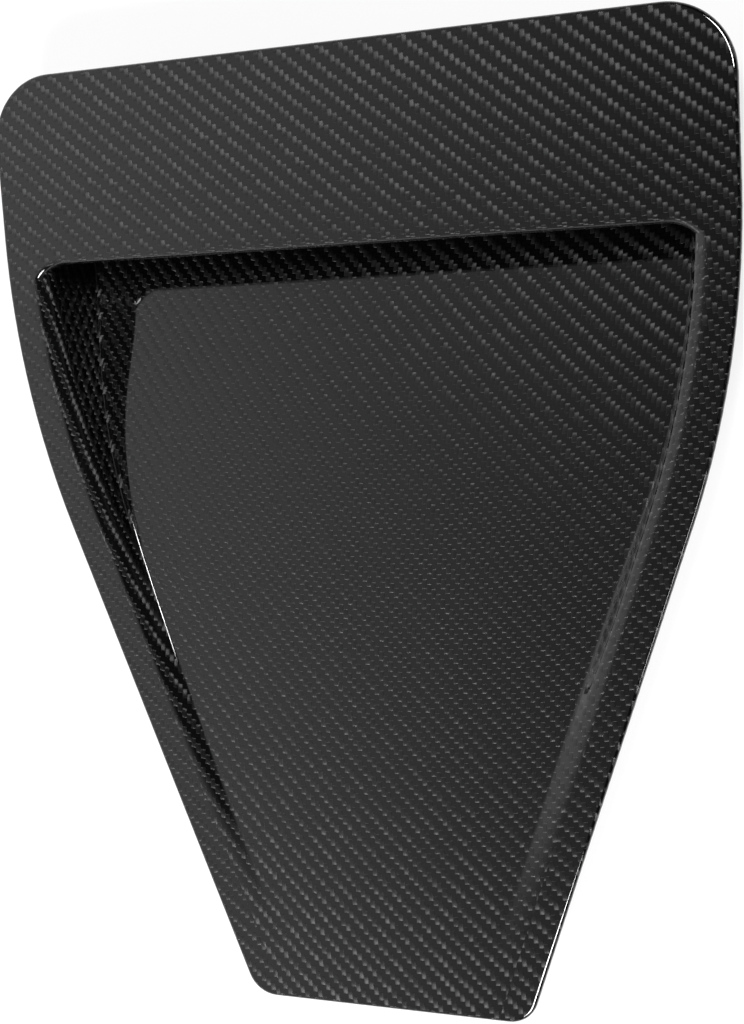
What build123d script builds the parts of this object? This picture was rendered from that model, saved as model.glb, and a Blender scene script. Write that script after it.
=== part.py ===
"""Bonnet vent: one moulded carbon-fibre shell with a ramp that dives under a lip.

The flange is bonded to the bonnet by its flat underside, which is the plane z = 0.
+Z points out of the bonnet and +Y towards the wide end.
The origin is the middle of the wide band's underside.
"""

import os
from math import atan2, cos, sin, sqrt, tan

from build123d import *

# Outline
width = 310.0
length = 392.0
narrow_width = 122.0
shoulder = 129.0
shoulder_radius = 370.0
corner_radius = 27.0
narrow_corner_radius = 7.0

# Laminate
thickness = 2.0
edge_radius = 1.4

# Opening
band = 78.0
flange_width = 12.5
lip_corner_radius = 10.0
lip_radius = 2.6
lip_drop = 1.5

# Ramp and throat, with depths below the flange's face
throat_depth = 40.6
throat_length = 32.0
throat_level = 10.0
ramp_margin = 16.0
ramp_ease = 240.0
throat_ease = 64.0

# Side walls: how far they reach inwards where the duct is deep and where it runs out
wall_run = 8.5
wall_run_shallow = 10.5
wall_ease = 0.7

# Back of the walls: shares of the reach and of the height that steer its curve
back_lean = 0.235
back_drop = 0.5
back_foot = 0.34

# How far a cut passes the face that it opens, and how steeply it breaks the surface
clearance = 4.0
breakout = 0.05
ramp_breakout = 0.2
sections = 11

# Places along the length
wide_y = band / 2
lip_y = -band / 2
narrow_y = wide_y - length
shoulder_y = wide_y - shoulder
ramp_y = narrow_y + ramp_margin
level_y = lip_y + throat_level
mouth_y = lip_y + throat_length

# The shoulder's arc, which joins the straight side to the taper
taper = atan2((width - narrow_width) / 2, shoulder_y - narrow_y)
arc_x = width / 2 - shoulder_radius
arc_y = shoulder_y + shoulder_radius * tan(taper / 2)


def side(y, inset):
    """Half width at y of the outline, moved inwards by inset."""
    radius = shoulder_radius - inset
    drop = arc_y - y
    if drop <= 0:
        return arc_x + radius
    if drop <= radius * sin(taper):
        return arc_x + sqrt(radius**2 - drop**2)
    return arc_x + radius * cos(taper) - (drop - radius * sin(taper)) * tan(taper)


def eased(share, start, start_ease, end, end_ease):
    """A value between start and end that leaves and arrives at the given eases."""
    return (
        (1 - share) ** 3 * start
        + 3 * share * (1 - share) ** 2 * (start + start_ease)
        + 3 * share**2 * (1 - share) * (end - end_ease)
        + share**3 * end
    )


def station(share):
    """Place along the length and depth of the floor at a share of the ramp."""
    y = eased(share, ramp_y, ramp_ease, level_y, throat_ease)
    return y, eased(share, -ramp_breakout, 0, throat_depth, 0)


def wall_reach(depth):
    """How far the side wall reaches inwards where the floor lies at depth."""
    return wall_run_shallow + (wall_run - wall_run_shallow) * depth / throat_depth


def air_wall(y, depth):
    """Control points of the wall's face: it leaves the flange level and lands on the floor level."""
    rim = side(y, flange_width)
    run = wall_reach(depth)
    top = thickness + breakout
    floor = thickness - depth
    ease = wall_ease * run
    return [(rim, top), (rim - ease, top), (rim - run + ease, floor), (rim - run, floor)]


def tray_wall(y, depth):
    """Control points of the wall's back, one laminate thickness further out and without the tight bends."""
    rim = side(y, flange_width)
    run = wall_reach(depth)
    top = thickness / 4
    drop = top - back_drop * (top + depth)
    return [(rim, top), (rim - back_lean * run, drop), (rim - back_foot * run, -depth), (rim - run, -depth)]


def duct_section(y, wall, top):
    """Cross-section between a wall and its mirror image, closed at the height top."""
    (rim, start), (foot, floor) = wall[0], wall[-1]
    with BuildSketch(Plane(origin=(0, y, 0), x_dir=(1, 0, 0), z_dir=(0, -1, 0))) as section:
        with BuildLine():
            Polyline((-rim, start), (-rim, top), (rim, top), (rim, start))
            Bezier(*wall)
            Line((foot, floor), (-foot, floor))
            Bezier(*[(-x, z) for x, z in reversed(wall)])
        make_face()
    return section.sketch


stations = [station(index / (sections - 1)) for index in range(sections)]

# The air space: the ramp between its walls, then the throat, which runs level out of the mouth
with BuildPart() as air:
    for y, depth in stations:
        add(duct_section(y, air_wall(y, depth), thickness + clearance))
    loft()
    extrude(air.faces().sort_by(Axis.Y)[-1], amount=mouth_y - level_y + clearance)

# The outside of the tray
with BuildPart() as tray:
    for y, depth in stations:
        add(duct_section(y, tray_wall(y, depth), thickness / 2))
    loft()
    extrude(tray.faces().sort_by(Axis.Y)[-1], amount=mouth_y - level_y)

# The wide band over the throat, doubled there, with a rolled lip that turns the corners into the side rims
lip_half = side(lip_y, flange_width)
leg = lip_corner_radius + clearance
with BuildPart() as lip:
    with BuildSketch(Plane.XY.offset(-lip_drop)):
        with Locations((0, lip_y - leg)):
            Rectangle(width + 2 * clearance, band + leg + clearance, align=(Align.CENTER, Align.MIN))
        with Locations((0, lip_y)):
            Rectangle(2 * lip_half, 2 * leg, align=(Align.CENTER, Align.MAX), mode=Mode.SUBTRACT)
        fillet(vertices().group_by(Axis.Y)[1], radius=lip_corner_radius)
    extrude(amount=thickness + lip_drop)
    top_edges = faces().sort_by(Axis.Z)[-1].edges()
    fillet(
        top_edges.filter_by_position(Axis.Y, lip_y - leg, lip_y, inclusive=(False, True)),
        radius=lip_radius,
    )

with BuildPart() as opening:
    add(air.part)
    add(lip.part, mode=Mode.SUBTRACT)

with BuildPart() as vent:
    with BuildSketch():
        with BuildLine():
            Polyline(
                (-width / 2, wide_y),
                (width / 2, wide_y),
                (width / 2, shoulder_y),
                (narrow_width / 2, narrow_y),
                (-narrow_width / 2, narrow_y),
                (-width / 2, shoulder_y),
                close=True,
            )
        make_face()
        fillet(vertices().group_by(Axis.Y)[2], radius=corner_radius)
        fillet(vertices().group_by(Axis.Y)[1], radius=shoulder_radius)
        fillet(vertices().group_by(Axis.Y)[0], radius=narrow_corner_radius)
    extrude(amount=thickness)
    fillet(faces().sort_by(Axis.Z)[-1].edges(), radius=edge_radius)
    add(tray.part)
    add(opening.part, mode=Mode.SUBTRACT)

vent.part.label = "vent_shell"

os.makedirs("parts", exist_ok=True)
export_step(vent.part, "parts/vent_shell.step")
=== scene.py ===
import math

import bmesh
import bpy
import numpy as np
from mathutils import Matrix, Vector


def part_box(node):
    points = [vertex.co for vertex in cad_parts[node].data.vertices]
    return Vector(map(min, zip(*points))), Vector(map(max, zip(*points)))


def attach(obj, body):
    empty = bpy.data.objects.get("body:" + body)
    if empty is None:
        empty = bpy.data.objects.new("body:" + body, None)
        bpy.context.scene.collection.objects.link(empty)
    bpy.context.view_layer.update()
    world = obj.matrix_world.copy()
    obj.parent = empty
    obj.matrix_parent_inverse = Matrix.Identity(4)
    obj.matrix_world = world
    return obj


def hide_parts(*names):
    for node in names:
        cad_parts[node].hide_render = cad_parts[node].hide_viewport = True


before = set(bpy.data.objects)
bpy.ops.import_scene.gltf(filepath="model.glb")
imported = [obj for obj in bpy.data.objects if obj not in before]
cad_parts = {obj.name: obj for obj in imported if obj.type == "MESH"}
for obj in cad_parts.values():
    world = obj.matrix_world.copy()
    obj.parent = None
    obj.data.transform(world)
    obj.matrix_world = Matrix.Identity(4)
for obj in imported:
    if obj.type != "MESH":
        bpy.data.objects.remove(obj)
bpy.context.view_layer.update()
low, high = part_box("vent_shell")
print("frame loaded", [round(c, 4) for c in low], [round(c, 4) for c in high])

# the moulded shell, in metres; the outer sizes come from the frame
shell = {
    "narrowWidth": 0.122, "shoulder": 0.129, "shoulderRadius": 0.370,
    "cornerRadius": 0.027, "narrowCornerRadius": 0.013,
    "edgeRadius": 0.0014, "flangeWidth": 0.0125,
    "lipCornerRadius": 0.015, "lipRadius": 0.0026, "lipDrop": 0.0015,
    "throatLength": 0.032, "throatLevel": 0.010,
    "rampMargin": 0.016, "rampEase": 0.240, "throatEase": 0.064,
    "wallRun": 0.0085, "wallRunShallow": 0.0105, "wallRounding": 0.94, "rimShare": 0.8,
}

# how finely the sheets are divided: points on each stretch, then the weights of a wall's two bends,
# the points that the ramp's curves are read at, the tolerances in metres and a sharp edge's angle
division = {
    "end": 9, "ramp": 150, "lipArc": 17, "lipTail": 7, "throat": 11, "behindMouth": 5, "corner": 21,
    "wall": 37, "floor": 19, "leg": 6, "lip": 31, "lipRound": 11, "ceiling": 9, "edgeRound": 9,
    "rimWeight": 1.5, "footWeight": 4.0, "rampCurve": 4001, "floorLine": 3000,
    "slack": 1e-6, "smallest": 1e-9, "weld": 2e-6, "sharpAngle": 40.0,
}

halfWidth = high.x
wideY, narrowY = high.y, low.y
faceZ = high.z                       # the flange's face; its underside is z = 0
skin = faceZ
throatDepth = faceZ - low.z - skin
lipY = -wideY                        # the band is centred on the origin
shoulderY = wideY - shell["shoulder"]
rampY = narrowY + shell["rampMargin"]
levelY = lipY + shell["throatLevel"]
mouthY = lipY + shell["throatLength"]
taper = math.atan2(halfWidth - shell["narrowWidth"] / 2, shoulderY - narrowY)
arcX = halfWidth - shell["shoulderRadius"]
arcY = shoulderY + shell["shoulderRadius"] * math.tan(taper / 2)


# half width of the outline moved inwards: straight, then the shoulder's arc, then the taper
def sideAt(y, inset):
    radius = shell["shoulderRadius"] - inset
    drop = arcY - y
    onArc = np.sqrt(np.maximum(radius**2 - drop**2, 0))
    onTaper = radius * math.cos(taper) - (drop - radius * math.sin(taper)) * math.tan(taper)
    return arcX + np.where(drop <= 0, radius, np.where(drop <= radius * math.sin(taper), onArc, onTaper))


# the same with the round corners at both ends: centre plus the root of radius squared less rise squared
def outlineAt(y, inset):
    corner, small = shell["cornerRadius"], shell["narrowCornerRadius"]
    topArc = np.sqrt(np.maximum((corner - inset)**2 - (y - wideY + corner)**2, 0))
    endY = narrowY + small
    endArc = np.sqrt(np.maximum((small - inset)**2 - (y - endY)**2, 0))
    x = sideAt(y, inset)
    x = np.where(y > wideY - corner, halfWidth - corner + topArc, x)
    return np.where(y < endY - (small - inset) * math.sin(taper), sideAt(endY, small) + endArc, x)


# cubic Bezier: four control values, each times its powers of t and of one less t
def bezier(t, a, b, c, d):
    return (1 - t)**3 * a + 3 * t * (1 - t)**2 * b + 3 * t**2 * (1 - t) * c + t**3 * d


# depth of the ramp's floor below the face: an S curve, one Bezier for y and one for depth, level at both ends
def depthAt(y):
    share = np.linspace(0, 1, division["rampCurve"])
    alongY = bezier(share, rampY, rampY + shell["rampEase"], levelY - shell["throatEase"], levelY)
    depth = bezier(share, 0, 0, throatDepth, throatDepth)
    return np.interp(y, alongY, depth)


# cross-section of the duct at each y: wall, floor, wall. back=1 gives the outside, one skin further out.
# a wall is an arc, a straight slope and an arc: both radii times the sine of the steepness plus the slope's
# level length make the run, both radii times one less the cosine plus the slope's height make the depth
def ductSection(y, wallShare, floorShare, back):
    y = y[:, None]
    depth = depthAt(y)
    rim = sideAt(y, shell["flangeWidth"])
    run = shell["wallRunShallow"] + (shell["wallRun"] - shell["wallRunShallow"]) * depth / throatDepth
    fall = np.clip(depth, division["slack"], run)
    radius = shell["wallRounding"] * (run**2 + fall**2) / (2 * fall)
    slope = np.sqrt(run**2 + depth**2 - 2 * radius * depth)
    steep = np.arctan2(radius, slope) - np.arctan2(radius - depth, run)
    rimRadius = shell["rimShare"] * radius - back * skin
    footRadius = radius - rimRadius
    top = faceZ - back * skin
    # the columns are shared out by length, with more of them on the bends
    rimPart = division["rimWeight"] * rimRadius * steep
    footPart = division["footWeight"] * footRadius * steep
    place = wallShare * (rimPart + slope + footPart)
    pastSlope = place - rimPart - slope
    rimTurn = steep * np.clip(place / np.maximum(rimPart, division["smallest"]), 0, 1)
    down = np.clip(place - rimPart, 0, slope)
    footTurn = steep * (1 - np.clip(pastSlope / np.maximum(footPart, division["smallest"]), 0, 1))
    wallX = rim - rimRadius * np.sin(rimTurn) - down * np.cos(steep)
    wallX = wallX - footRadius * (np.sin(steep) - np.sin(footTurn))
    wallZ = top - rimRadius * (1 - np.cos(rimTurn)) - down * np.sin(steep)
    wallZ = wallZ - footRadius * (np.cos(footTurn) - np.cos(steep))
    floorX = (rim - run) * floorShare
    floorZ = np.broadcast_to(top - depth, floorX.shape)
    x = np.hstack([-wallX, -floorX[:, 1:], floorX[:, -2:0:-1], wallX[:, ::-1]])
    z = np.hstack([wallZ, floorZ[:, 1:], floorZ[:, -2:0:-1], wallZ[:, ::-1]])
    return x, np.broadcast_to(y, x.shape), z


# how the cloth lies, in metres and degrees: the tows' pitch, how they settle back towards level on the walls
# and on the ramp, how they lean and the rows tilt and sag in the duct, and the turn of the flat parts
cloth = {
    "towPitch": 0.002, "wallLean": 52.0, "wallPower": 1.5, "settleShare": 0.85, "fallReach": 0.001,
    "floorLean": 0.26, "leanFrom": -0.262, "rowTilt": 0.047, "rowSag": 1.0, "bandTurn": 4.0,
}


# how far the tows lie back towards level: across, the tangent of an angle that grows with a power of the
# wall's steepness; along, a share of the ramp's fall
def settleOf(x, y, z):
    rise, run = np.gradient(z, axis=1), np.gradient(x, axis=1)
    steep = np.arctan2(np.abs(rise), np.abs(run)) / (math.pi / 2)
    across = np.sign(rise) * np.tan(math.radians(cloth["wallLean"]) * steep ** cloth["wallPower"])
    fall = (depthAt(y - cloth["fallReach"]) - depthAt(y + cloth["fallReach"])) / (2 * cloth["fallReach"])
    return np.stack([across, cloth["settleShare"] * fall, np.zeros(fall.shape)], axis=-1)


# length along a row of points, from its middle column
def acrossLength(x, z):
    step = np.hypot(np.diff(x, axis=1), np.diff(z, axis=1))
    run = np.hstack([np.zeros((len(x), 1)), np.cumsum(step, axis=1)])
    return run - run[:, x.shape[1] // 2][:, None]


# length along the floor's middle line, from the lip towards the narrow end and the mouth
def alongLength(y):
    line = np.linspace(narrowY, mouthY, division["floorLine"])
    run = np.concatenate([[0], np.cumsum(np.hypot(np.diff(line), np.diff(depthAt(line))))])
    return np.interp(y, line, run - np.interp(lipY, line, run))


# the duct's place on the cloth, in tows: the length across less a share of y's square, and the length along
# plus a share of the length across, less a share of its square
def ductCloth(across, y):
    along = alongLength(y) + lipY
    s = across - cloth["floorLean"] * (y - cloth["leanFrom"])**2
    t = along + cloth["rowTilt"] * across - cloth["rowSag"] * across**2
    return np.stack([s, t], axis=-1) / cloth["towPitch"]


# a flat part's place on the cloth, in tows: x and y, turned
def flatCloth(x, y):
    turn = math.radians(cloth["bandTurn"])
    s = x * math.cos(turn) + y * math.sin(turn)
    t = y * math.cos(turn) - x * math.sin(turn)
    return np.stack([s, t], axis=-1) / cloth["towPitch"]


patches = []


# a grid of points becomes quads; flip turns them over, back marks the bag side, settle the tows' own lean
def addPatch(x, y, z, uv, flip=False, back=0.0, settle=0.0):
    grid = np.stack(np.broadcast_arrays(x, y, z), axis=-1)
    patches.append((grid, uv, flip, back, np.broadcast_to(settle, grid.shape)))


edge, lipR, lipCorner = shell["edgeRadius"], shell["lipRadius"], shell["lipCornerRadius"]
lipHalf = float(sideAt(np.array(lipY), shell["flangeWidth"]))

# rows of points from the narrow end to the wide end: corner, ramp, lip's corner, throat, band, corner
endTurn = np.linspace(0, math.pi / 2 - taper, division["end"])
endRows = narrowY + shell["narrowCornerRadius"] - (shell["narrowCornerRadius"] - edge) * np.cos(endTurn)
rampRows = np.linspace(endRows[-1], lipY - lipCorner, division["ramp"])[1:]
lipTurnEnd = math.asin(lipCorner / (lipCorner + lipR))
lipTurn = np.concatenate([
    np.linspace(0, lipTurnEnd, division["lipArc"]),
    np.linspace(lipTurnEnd, math.pi / 2, division["lipTail"])[1:]])
webRows = lipY - lipCorner + (lipCorner + lipR) * np.sin(lipTurn)
webRows[division["lipArc"] - 1] = lipY
cornerTurn = np.linspace(0, math.pi / 2, division["corner"])
cornerY = wideY - shell["cornerRadius"]
bandRows = np.concatenate([
    np.linspace(webRows[-1], mouthY, division["throat"]),
    np.linspace(mouthY, cornerY, division["behindMouth"])[1:-1],
    cornerY + (shell["cornerRadius"] - edge) * np.sin(cornerTurn)])
legRows = np.concatenate([endRows, rampRows, webRows[1:]])
ductRows = np.concatenate([legRows, bandRows[1:division["throat"]]])
underRows = bandRows[division["throat"] - 1:]

# columns, as shares of a wall, of half the floor and of the flange
wallShare = np.linspace(0, 1, division["wall"])[None, :]
floorShare = np.cos(np.linspace(0, math.pi / 2, division["floor"]))[None, :]
legShare = np.linspace(0, 1, division["leg"])[None, :]

# the ramp, its walls and the throat, as one sheet seen from above; behind the lip its two edges end
# inside the band
x, y, z = ductSection(ductRows, wallShare, floorShare, 0)
inBand = y > lipY + division["slack"]
ductX, ductZ = x, np.where(inBand, np.minimum(z, skin / 2), z)
addPatch(ductX, y, ductZ, ductCloth(acrossLength(x, z), y), settle=settleOf(x, y, z))


# the flange beside the opening: even shares of the way from the outline to the rim
def flangeLeg(rows, sign):
    outer = outlineAt(rows, edge)[:, None]
    inner = sideAt(rows, shell["flangeWidth"])[:, None]
    x = sign * (outer + (inner - outer) * legShare)
    return x, np.broadcast_to(rows[:, None], x.shape)


# the same sheet from below, one skin further out, with the flange's underside beside it
backX, backY, backZ = ductSection(ductRows, wallShare, floorShare, 1)
addPatch(backX, backY, backZ, ductCloth(acrossLength(backX, backZ), backY), flip=True, back=1.0)
for sign in (-1, 1):
    x, y = flangeLeg(ductRows, sign)
    addPatch(x, y, 0.0, flatCloth(x, y), flip=sign < 0, back=1.0)

# the mouth's cut edge between the two sheets
x = np.vstack([ductX[-1], backX[-1]])
z = np.vstack([ductZ[-1], backZ[-1]])
addPatch(x, np.full(x.shape, mouthY), z, flatCloth(x, z), back=1.0)

# the flange's face, and the web that rounds the opening's corner
for sign in (-1, 1):
    x, y = flangeLeg(legRows, sign)
    addPatch(x, y, faceZ, flatCloth(x, y), flip=sign > 0)
    rim = sideAt(webRows, shell["flangeWidth"])[:, None]
    turnX = lipHalf - lipCorner + (lipCorner + lipR) * np.cos(lipTurn)[:, None]
    x = sign * (rim + (np.minimum(turnX, rim) - rim) * legShare)
    y = np.broadcast_to(webRows[:, None], x.shape)
    addPatch(x, y, faceZ, flatCloth(x, y), flip=sign > 0)

# the band over the throat, and its underside; its columns go on from the flange, the web and the lip
straight = np.linspace(0, lipHalf - lipCorner, division["lip"])
firstOuter = outlineAt(bandRows[:1], edge)
firstRim = sideAt(bandRows[:1], shell["flangeWidth"])
besideLip = firstRim + (straight[-1] - firstRim) * legShare[0, ::-1]
besideRim = firstOuter + (firstRim - firstOuter) * legShare[0, ::-1]
halfRow = np.concatenate([straight, besideLip[1:], besideRim[1:]]) / firstOuter
bandShare = np.concatenate([-halfRow[:0:-1], halfRow])[None, :]
for rows, level, under in ((bandRows, faceZ, False), (underRows, 0.0, True)):
    x = outlineAt(rows, edge)[:, None] * bandShare
    y = np.broadcast_to(rows[:, None], x.shape)
    addPatch(x, y, level, flatCloth(x, y), flip=under, back=float(under))

# the lip: quarter round and cut edge carried along the opening's top edge
acrossLip = np.concatenate([straight[::-1], -straight[1:]])[1:-1]
pathX = np.concatenate([lipHalf - lipCorner + lipCorner * np.cos(lipTurn), acrossLip,
                        lipCorner - lipHalf - lipCorner * np.cos(lipTurn[::-1])])
pathY = np.concatenate([lipY - lipCorner + lipCorner * np.sin(lipTurn), np.full(len(acrossLip), lipY),
                        lipY - lipCorner + lipCorner * np.sin(lipTurn[::-1])])
outX = np.concatenate([np.cos(lipTurn), np.zeros(len(acrossLip)), -np.cos(lipTurn[::-1])])
outY = np.concatenate([np.sin(lipTurn), np.ones(len(acrossLip)), np.sin(lipTurn[::-1])])
roundTurn = np.linspace(0, math.pi / 2, division["lipRound"])
inset = np.concatenate([lipR * (1 - np.sin(roundTurn)), [0.0]])
height = np.concatenate([faceZ - lipR * (1 - np.cos(roundTurn)), [-shell["lipDrop"]]])
overEdge = np.concatenate([lipR * roundTurn, [lipR * math.pi / 2 + faceZ + shell["lipDrop"] - lipR]])
x = pathX[:, None] + outX[:, None] * inset
y = pathY[:, None] + outY[:, None] * inset
unrolledX = pathX[:, None] + outX[:, None] * (lipR - overEdge)
unrolledY = pathY[:, None] + outY[:, None] * (lipR - overEdge)
addPatch(x, y, height[None, :], flatCloth(unrolledX, unrolledY), flip=True)

# the throat's ceiling behind the lip, and its end over the mouth
ceilingShare = np.linspace(0, 1, division["ceiling"])[None, :]
y = pathY[:, None] + (mouthY - pathY[:, None]) * ceilingShare
x = np.broadcast_to(pathX[:, None], y.shape)
addPatch(x, y, -shell["lipDrop"], flatCloth(x, y), flip=True, back=1.0)
x = np.vstack([pathX, pathX])
z = np.vstack([np.full(len(pathX), -shell["lipDrop"]), np.zeros(len(pathX))])
addPatch(x, np.full(x.shape, mouthY), z, flatCloth(x, z), back=1.0)

# the outer edge: quarter round and cut edge carried round the outline, square to its tangent
endOuter = outlineAt(endRows[:1], edge)
endRim = sideAt(endRows[:1], shell["flangeWidth"])
endLeg = endOuter + (endRim - endOuter) * legShare[0]
bottomX = np.concatenate([-endLeg, ductX[0][1:-1], endLeg[::-1]])
sideRows = np.concatenate([legRows, bandRows[1:]])
sideX = outlineAt(sideRows, edge)
topX = (outlineAt(bandRows[-1:], edge) * bandShare[0])[::-1]
loopX = np.concatenate([bottomX, sideX[1:], topX[1:], -sideX[::-1][1:-1]])
loopY = np.concatenate([np.full(len(bottomX), endRows[0]), sideRows[1:],
                        np.full(len(topX) - 1, bandRows[-1]), sideRows[::-1][1:-1]])
ahead = np.stack([np.roll(loopX, -1) - loopX, np.roll(loopY, -1) - loopY])
behind = np.roll(ahead, 1, axis=1)
aheadLength, behindLength = np.hypot(*ahead), np.hypot(*behind)
tangent = ahead / aheadLength * behindLength + behind / behindLength * aheadLength
tangent = tangent / np.hypot(*tangent)
edgeTurn = np.linspace(0, math.pi / 2, division["edgeRound"])
reach = np.concatenate([edge * np.sin(edgeTurn), [edge, 0.0]])
height = np.concatenate([faceZ - edge * (1 - np.cos(edgeTurn)), [0.0, 0.0]])
closed = np.r_[np.arange(len(loopX)), 0]
x = (loopX[:, None] + tangent[1][:, None] * reach)[closed]
y = (loopY[:, None] - tangent[0][:, None] * reach)[closed]
addPatch(x, y, height[None, :], flatCloth(x, y), flip=True)


# joins the patches into one mesh with a cloth map, a mark for the back and the tows' settling
def meshFromPatches(name):
    points, faces, uvs, marks, leans, start = [], [], [], [], [], 0
    for grid, uv, flip, back, settle in patches:
        rows, columns = grid.shape[:2]
        index = start + np.arange(rows * columns).reshape(rows, columns)
        corners = [index[:-1, :-1], index[:-1, 1:], index[1:, 1:], index[1:, :-1]]
        quads = np.stack(corners, axis=-1).reshape(-1, 4)
        faces.append(quads[:, ::-1] if flip else quads)
        points.append(grid.reshape(-1, 3))
        uvs.append(uv.reshape(-1, 2))
        marks.append(np.full(rows * columns, back))
        leans.append(settle.reshape(-1, 3))
        start += rows * columns
    points, faces, uvs, marks, leans = map(np.concatenate, (points, faces, uvs, marks, leans))
    mesh = bpy.data.meshes.new(name)
    mesh.from_pydata(points.tolist(), [], faces.tolist())
    atCorner = faces.ravel()
    clothMap = mesh.uv_layers.new(name="cloth")
    clothMap.data.foreach_set("uv", uvs[atCorner].ravel())
    backMark = mesh.attributes.new("back", "FLOAT", "CORNER")
    backMark.data.foreach_set("value", marks[atCorner])
    settling = mesh.attributes.new("settle", "FLOAT_VECTOR", "CORNER")
    settling.data.foreach_set("vector", leans[atCorner].ravel())
    work = bmesh.new()
    work.from_mesh(mesh)
    bmesh.ops.remove_doubles(work, verts=work.verts, dist=division["weld"])
    work.to_mesh(mesh)
    work.free()
    mesh.shade_smooth()
    mesh.set_sharp_from_angle(angle=math.radians(division["sharpAngle"]))
    return mesh


vent = bpy.data.objects.new("vent_skin", meshFromPatches("vent_skin"))
bpy.context.scene.collection.objects.link(vent)
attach(vent, "root")
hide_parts("vent_shell")
print("shell built", len(vent.data.polygons), "faces")

# carbon twill under clear coat; a float is the stretch of a tow that lies on top of the weave
carbon = {
    "towColour": (0.0015, 0.0015, 0.0016, 1), "gapColour": (0.0004, 0.0004, 0.0004, 1),
    "towRoughness": 0.37, "crossRoughness": 0.04, "backRoughness": 0.5, "stretch": 1.0, "towSpecular": 0.25,
    "floatTows": 2.0, "crown": 0.08, "dive": 0.26, "divePower": 5.0, "towRoll": 1.0, "rollPower": 3.0,
    "scatterAlong": 0.08, "scatterAcross": 0.3, "sideGapPower": 6.0, "endGapPower": 8.0,
    "coatRoughness": 0.02, "coatIor": 1.5,
}


# short calls for one node tree: make a node, join two sockets, work out a value
def nodeMaker(tree):
    def make(kind, place, **values):
        node = tree.nodes.new(kind)
        node.location = place
        for key, value in values.items():
            setattr(node, key, value)
        return node

    def join(a, b):
        tree.links.new(a, b)

    def calc(operation, a, b=None, c=None):
        node = make("ShaderNodeMath", (0, 0), operation=operation)
        for socket, value in zip(node.inputs, (a, b, c)):
            if value is None:
                continue
            if isinstance(value, (int, float)):
                socket.default_value = value
            else:
                join(value, socket)
        return node.outputs[0]

    return make, join, calc


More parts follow.
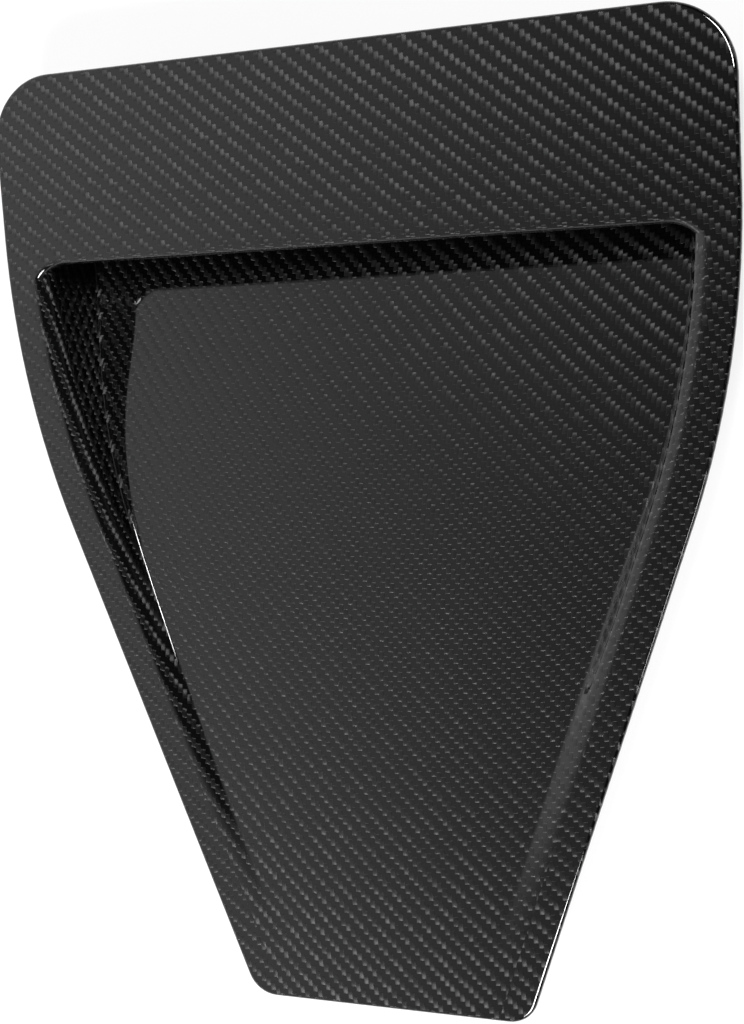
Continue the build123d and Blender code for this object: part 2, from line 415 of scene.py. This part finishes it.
# 2 over 2 twill: which tow is on top, and the lean of its fibres, as a tangent-space normal colour
def twillGroup():
    group = bpy.data.node_groups.new("twillWeave", "ShaderNodeTree")
    for name in ("Cloth", "Settle"):
        group.interface.new_socket(name, in_out="INPUT", socket_type="NodeSocketVector")
    for name in ("Crown", "Dive", "Roll", "Scatter Along", "Scatter Across"):
        group.interface.new_socket(name, in_out="INPUT", socket_type="NodeSocketFloat")
    group.interface.new_socket("Normal Colour", in_out="OUTPUT", socket_type="NodeSocketColor")
    for name in ("Lengthwise", "Gap"):
        group.interface.new_socket(name, in_out="OUTPUT", socket_type="NodeSocketFloat")
    make, join, calc = nodeMaker(group)
    given = make("NodeGroupInput", (-1400, 0))
    result = make("NodeGroupOutput", (900, 0))
    split = make("ShaderNodeSeparateXYZ", (-1200, 0))
    join(given.outputs["Cloth"], split.inputs[0])
    s, t = split.outputs["X"], split.outputs["Y"]
    inS, inT = calc("FRACT", s), calc("FRACT", t)
    tows = carbon["floatTows"]
    count = calc("ADD", calc("FLOOR", s), calc("FLOOR", t))
    step = calc("FLOORED_MODULO", count, 2 * tows)
    lengthwise = calc("LESS_THAN", step, tows - 0.5)
    crosswise = calc("SUBTRACT", 1.0, lengthwise)
    # the place along the float that is on top, from -1 to 1, and the place across its tow, from 0 to 1
    alongLengthwise = calc("SUBTRACT", calc("ADD", step, inT), tows / 2)
    alongCrosswise = calc("SUBTRACT", calc("ADD", step, inS), tows + tows / 2)
    along = calc("ADD", calc("MULTIPLY", lengthwise, alongLengthwise),
                 calc("MULTIPLY", crosswise, alongCrosswise))
    beside = calc("ADD", calc("MULTIPLY", lengthwise, inS), calc("MULTIPLY", crosswise, inT))
    # along a float the lean is a crown that dives at both ends, and across it a roll at both sides
    dive = calc("MULTIPLY", calc("POWER", along, carbon["divePower"]), given.outputs["Dive"])
    leanAlong = calc("MULTIPLY_ADD", along, given.outputs["Crown"], dive)
    offset = calc("MULTIPLY", calc("SUBTRACT", beside, 0.5), 2.0)
    roll = calc("MULTIPLY", calc("POWER", offset, carbon["rollPower"]), given.outputs["Roll"])
    settle = make("ShaderNodeSeparateXYZ", (-1200, -300))
    join(given.outputs["Settle"], settle.inputs[0])
    # each float lies a little differently
    which = make("ShaderNodeCombineXYZ", (-900, -500))
    join(calc("FLOOR", s), which.inputs[0])
    join(calc("FLOOR", calc("DIVIDE", count, 2 * tows)), which.inputs[1])
    chance = make("ShaderNodeTexWhiteNoise", (-700, -500), noise_dimensions="2D")
    join(which.outputs[0], chance.inputs["Vector"])
    chances = make("ShaderNodeSeparateColor", (-500, -500))
    join(chance.outputs["Color"], chances.inputs[0])
    turnS = calc("MULTIPLY", calc("SUBTRACT", chances.outputs[0], 0.5), given.outputs["Scatter Across"])
    turnT = calc("MULTIPLY", calc("SUBTRACT", chances.outputs[1], 0.5), given.outputs["Scatter Along"])
    # only the lengthwise tows lean; the others lie flat
    leanS = calc("MULTIPLY", lengthwise, calc("ADD", calc("ADD", roll, turnS), settle.outputs["X"]))
    leanT = calc("MULTIPLY", lengthwise, calc("ADD", calc("ADD", leanAlong, turnT), settle.outputs["Y"]))
    tall = make("ShaderNodeCombineXYZ", (300, 0))
    join(leanS, tall.inputs[0])
    join(leanT, tall.inputs[1])
    tall.inputs[2].default_value = 1.0
    unit = make("ShaderNodeVectorMath", (400, 0), operation="NORMALIZE")
    join(tall.outputs[0], unit.inputs[0])
    half = make("ShaderNodeVectorMath", (500, 0), operation="MULTIPLY_ADD")
    join(unit.outputs[0], half.inputs[0])
    half.inputs[1].default_value = (0.5, 0.5, 0.5)
    half.inputs[2].default_value = (0.5, 0.5, 0.5)
    join(half.outputs[0], result.inputs["Normal Colour"])
    join(lengthwise, result.inputs["Lengthwise"])
    sideGap = calc("SUBTRACT", 1.0, calc("POWER", calc("ABSOLUTE", offset), carbon["sideGapPower"]))
    endGap = calc("SUBTRACT", 1.0, calc("POWER", calc("ABSOLUTE", along), carbon["endGapPower"]))
    join(calc("MULTIPLY", sideGap, endGap), result.inputs["Gap"])
    return group


# the twill's normals, colour and gloss under a mirror-like coat
def carbonMaterial():
    material = bpy.data.materials.new("clear_coated_twill")
    material.use_nodes = True
    tree = material.node_tree
    tree.nodes.clear()
    make, join, calc = nodeMaker(tree)
    output = make("ShaderNodeOutputMaterial", (900, 0))
    shader = make("ShaderNodeBsdfPrincipled", (600, 0))
    join(shader.outputs[0], output.inputs[0])
    weave = make("ShaderNodeGroup", (-300, 0), node_tree=twillGroup())
    clothMap = make("ShaderNodeUVMap", (-600, 0), uv_map="cloth")
    join(clothMap.outputs[0], weave.inputs["Cloth"])
    settle = make("ShaderNodeAttribute", (-600, -300), attribute_name="settle")
    join(settle.outputs["Vector"], weave.inputs["Settle"])
    weave.inputs["Crown"].default_value = carbon["crown"]
    weave.inputs["Dive"].default_value = carbon["dive"]
    weave.inputs["Roll"].default_value = carbon["towRoll"]
    weave.inputs["Scatter Along"].default_value = carbon["scatterAlong"]
    weave.inputs["Scatter Across"].default_value = carbon["scatterAcross"]
    bend = make("ShaderNodeNormalMap", (200, -300), space="TANGENT", uv_map="cloth")
    join(weave.outputs["Normal Colour"], bend.inputs["Color"])
    join(bend.outputs[0], shader.inputs["Normal"])
    # resin shows dark between the tows; the bag side of the laminate is duller and has no coat
    tint = make("ShaderNodeMix", (200, 200), data_type="RGBA")
    join(weave.outputs["Gap"], tint.inputs["Factor"])
    tint.inputs["A"].default_value = carbon["gapColour"]
    tint.inputs["B"].default_value = carbon["towColour"]
    join(tint.outputs["Result"], shader.inputs["Base Color"])
    back = make("ShaderNodeAttribute", (-300, 400), attribute_name="back")
    rougher = carbon["towRoughness"] - carbon["crossRoughness"]
    face = calc("MULTIPLY_ADD", weave.outputs["Lengthwise"], rougher, carbon["crossRoughness"])
    toBack = calc("MULTIPLY", back.outputs["Fac"], calc("SUBTRACT", carbon["backRoughness"], face))
    join(calc("ADD", face, toBack), shader.inputs["Roughness"])
    join(calc("SUBTRACT", 1.0, back.outputs["Fac"]), shader.inputs["Coat Weight"])
    # the fibres of a tow spread a glint across it
    across = make("ShaderNodeTangent", (300, -500), direction_type="UV_MAP", uv_map="cloth")
    join(across.outputs[0], shader.inputs["Tangent"])
    shader.inputs["Anisotropic"].default_value = carbon["stretch"]
    shader.inputs["Specular IOR Level"].default_value = carbon["towSpecular"]
    shader.inputs["Coat Roughness"].default_value = carbon["coatRoughness"]
    shader.inputs["Coat IOR"].default_value = carbon["coatIor"]
    return material


vent.data.materials.append(carbonMaterial())
print("material built")

# floor, sky and lamps; a lamp's direction is seen from the middle of the part
stage = {
    "floorGap": 0.0005, "floorSize": 6.0, "floorColour": (0.86, 0.86, 0.86, 1), "backdropShare": 0.75,
    "leftSky": 0.85, "rightSky": 0.03, "skyFrom": -0.65, "skyTo": -0.05,
    "horizonLeft": 1.0, "horizonRight": 0.1, "horizonFrom": 0.12, "horizonTo": 0.42,
    "lampDistance": 2.4,
    "lamps": {
        "wide_lamp": {"towards": (0.13, 0.31, 0.94), "size": (0.35, 0.6), "power": 45.0},
        "narrow_lamp": {"towards": (0.05, -0.63, 0.775), "size": (0.6, 0.7), "power": 66.0},
        "edge_lamp": {"towards": (0.6, -0.43, 0.68), "size": (0.2, 0.5), "power": 8.0},
    },
}

# a plain square floor just under the part
floorMesh = bpy.data.meshes.new("floor")
halfFloor = stage["floorSize"] / 2
groundZ = low.z - stage["floorGap"]
floorCorners = [(-halfFloor, -halfFloor, groundZ), (halfFloor, -halfFloor, groundZ),
                (halfFloor, halfFloor, groundZ), (-halfFloor, halfFloor, groundZ)]
floorMesh.from_pydata(floorCorners, [], [(0, 1, 2, 3)])
floor = bpy.data.objects.new("floor", floorMesh)
bpy.context.scene.collection.objects.link(floor)

# the floor looks white and keeps a share of its own shading, so the part's shadow stays
floorMaterial = bpy.data.materials.new("pale_floor")
floorMaterial.use_nodes = True
tree = floorMaterial.node_tree
tree.nodes.clear()
make, join, calc = nodeMaker(tree)
output = make("ShaderNodeOutputMaterial", (600, 0))
matte = make("ShaderNodeBsdfDiffuse", (0, 0))
matte.inputs["Color"].default_value = stage["floorColour"]
glow = make("ShaderNodeEmission", (0, -200))
glow.inputs["Strength"].default_value = 1.0
path = make("ShaderNodeLightPath", (-600, 300))
bySight = calc("MAXIMUM", path.outputs["Is Camera Ray"], path.outputs["Is Transmission Ray"])
share = calc("MULTIPLY", calc("MAXIMUM", bySight, path.outputs["Is Glossy Ray"]), stage["backdropShare"])
mix = make("ShaderNodeMixShader", (300, 0))
join(share, mix.inputs[0])
join(matte.outputs[0], mix.inputs[1])
join(glow.outputs[0], mix.inputs[2])
join(mix.outputs[0], output.inputs[0])
floorMesh.materials.append(floorMaterial)

world = bpy.data.worlds.new("studio")
world.use_nodes = True
bpy.context.scene.world = world
tree = world.node_tree
tree.nodes.clear()
make, join, calc = nodeMaker(tree)
output = make("ShaderNodeOutputWorld", (900, 0))
sky = make("ShaderNodeBackground", (600, 0))
sky.inputs["Color"].default_value = (1, 1, 1, 1)
where = make("ShaderNodeTexCoord", (-800, 0))
split = make("ShaderNodeSeparateXYZ", (-600, 0))
join(where.outputs["Generated"], split.inputs[0])


# a value eased from one level to another between two places
def smoothStep(value, fromMin, fromMax, toMin, toMax):
    ramp = make("ShaderNodeMapRange", (-300, 0), interpolation_type="SMOOTHSTEP")
    for name, number in zip(("From Min", "From Max", "To Min", "To Max"), (fromMin, fromMax, toMin, toMax)):
        ramp.inputs[name].default_value = number
    join(value, ramp.inputs["Value"])
    return ramp.outputs[0]


# the room is bright to the left and dark to the right, and white at eye level except on the right
toRight, upwards = split.outputs["X"], split.outputs["Z"]
overhead = smoothStep(toRight, stage["skyFrom"], stage["skyTo"], stage["leftSky"], stage["rightSky"])
lowShare = smoothStep(upwards, stage["horizonFrom"], stage["horizonTo"], 1.0, 0.0)
horizon = smoothStep(toRight, stage["skyTo"], -stage["skyFrom"], stage["horizonLeft"], stage["horizonRight"])
toHorizon = calc("MULTIPLY", lowShare, calc("SUBTRACT", horizon, overhead))
join(calc("ADD", overhead, toHorizon), sky.inputs["Strength"])
join(sky.outputs[0], output.inputs[0])


# a placement from its own right, up and back directions
def placedAt(place, right, up, back):
    return Matrix([[right[i], up[i], back[i], place[i]] for i in range(3)] + [[0, 0, 0, 1]])


# an area lamp that faces the middle of the part
def addLamp(name, plan):
    lamp = bpy.data.lights.new(name, "AREA")
    lamp.shape = "RECTANGLE"
    lamp.size, lamp.size_y = plan["size"]
    lamp.energy = plan["power"]
    middle = np.array([0.0, (wideY + narrowY) / 2, 0.0])
    away = np.array(plan["towards"]) / np.linalg.norm(plan["towards"])
    right = np.cross((0.0, 1.0, 0.0), away)
    right = right / np.linalg.norm(right)
    obj = bpy.data.objects.new(name, lamp)
    obj.matrix_world = placedAt(middle + away * stage["lampDistance"], right, np.cross(away, right), away)
    bpy.context.scene.collection.objects.link(obj)


for name, plan in stage["lamps"].items():
    addLamp(name, plan)

# the photograph's viewpoint: place in metres, lens and sensor in millimetres
view = {
    "place": (0.26145, -0.05152, 0.62024), "lens": 59.77, "sensor": 36.0, "clipStart": 0.01,
    "right": (0.92565, -0.05987, -0.37361), "up": (0.00356, 0.98874, -0.14962),
    "back": (0.37836, 0.13717, 0.91544),
}
camera = bpy.data.cameras.new("camera")
camera.sensor_fit = "AUTO"
camera.sensor_width = view["sensor"]
camera.lens = view["lens"]
camera.clip_start = view["clipStart"]
eye = bpy.data.objects.new("camera", camera)
eye.matrix_world = placedAt(view["place"], view["right"], view["up"], view["back"])
bpy.context.scene.collection.objects.link(eye)
bpy.context.scene.camera = eye
bpy.context.scene.view_settings.view_transform = "Standard"
print("stage and camera set")
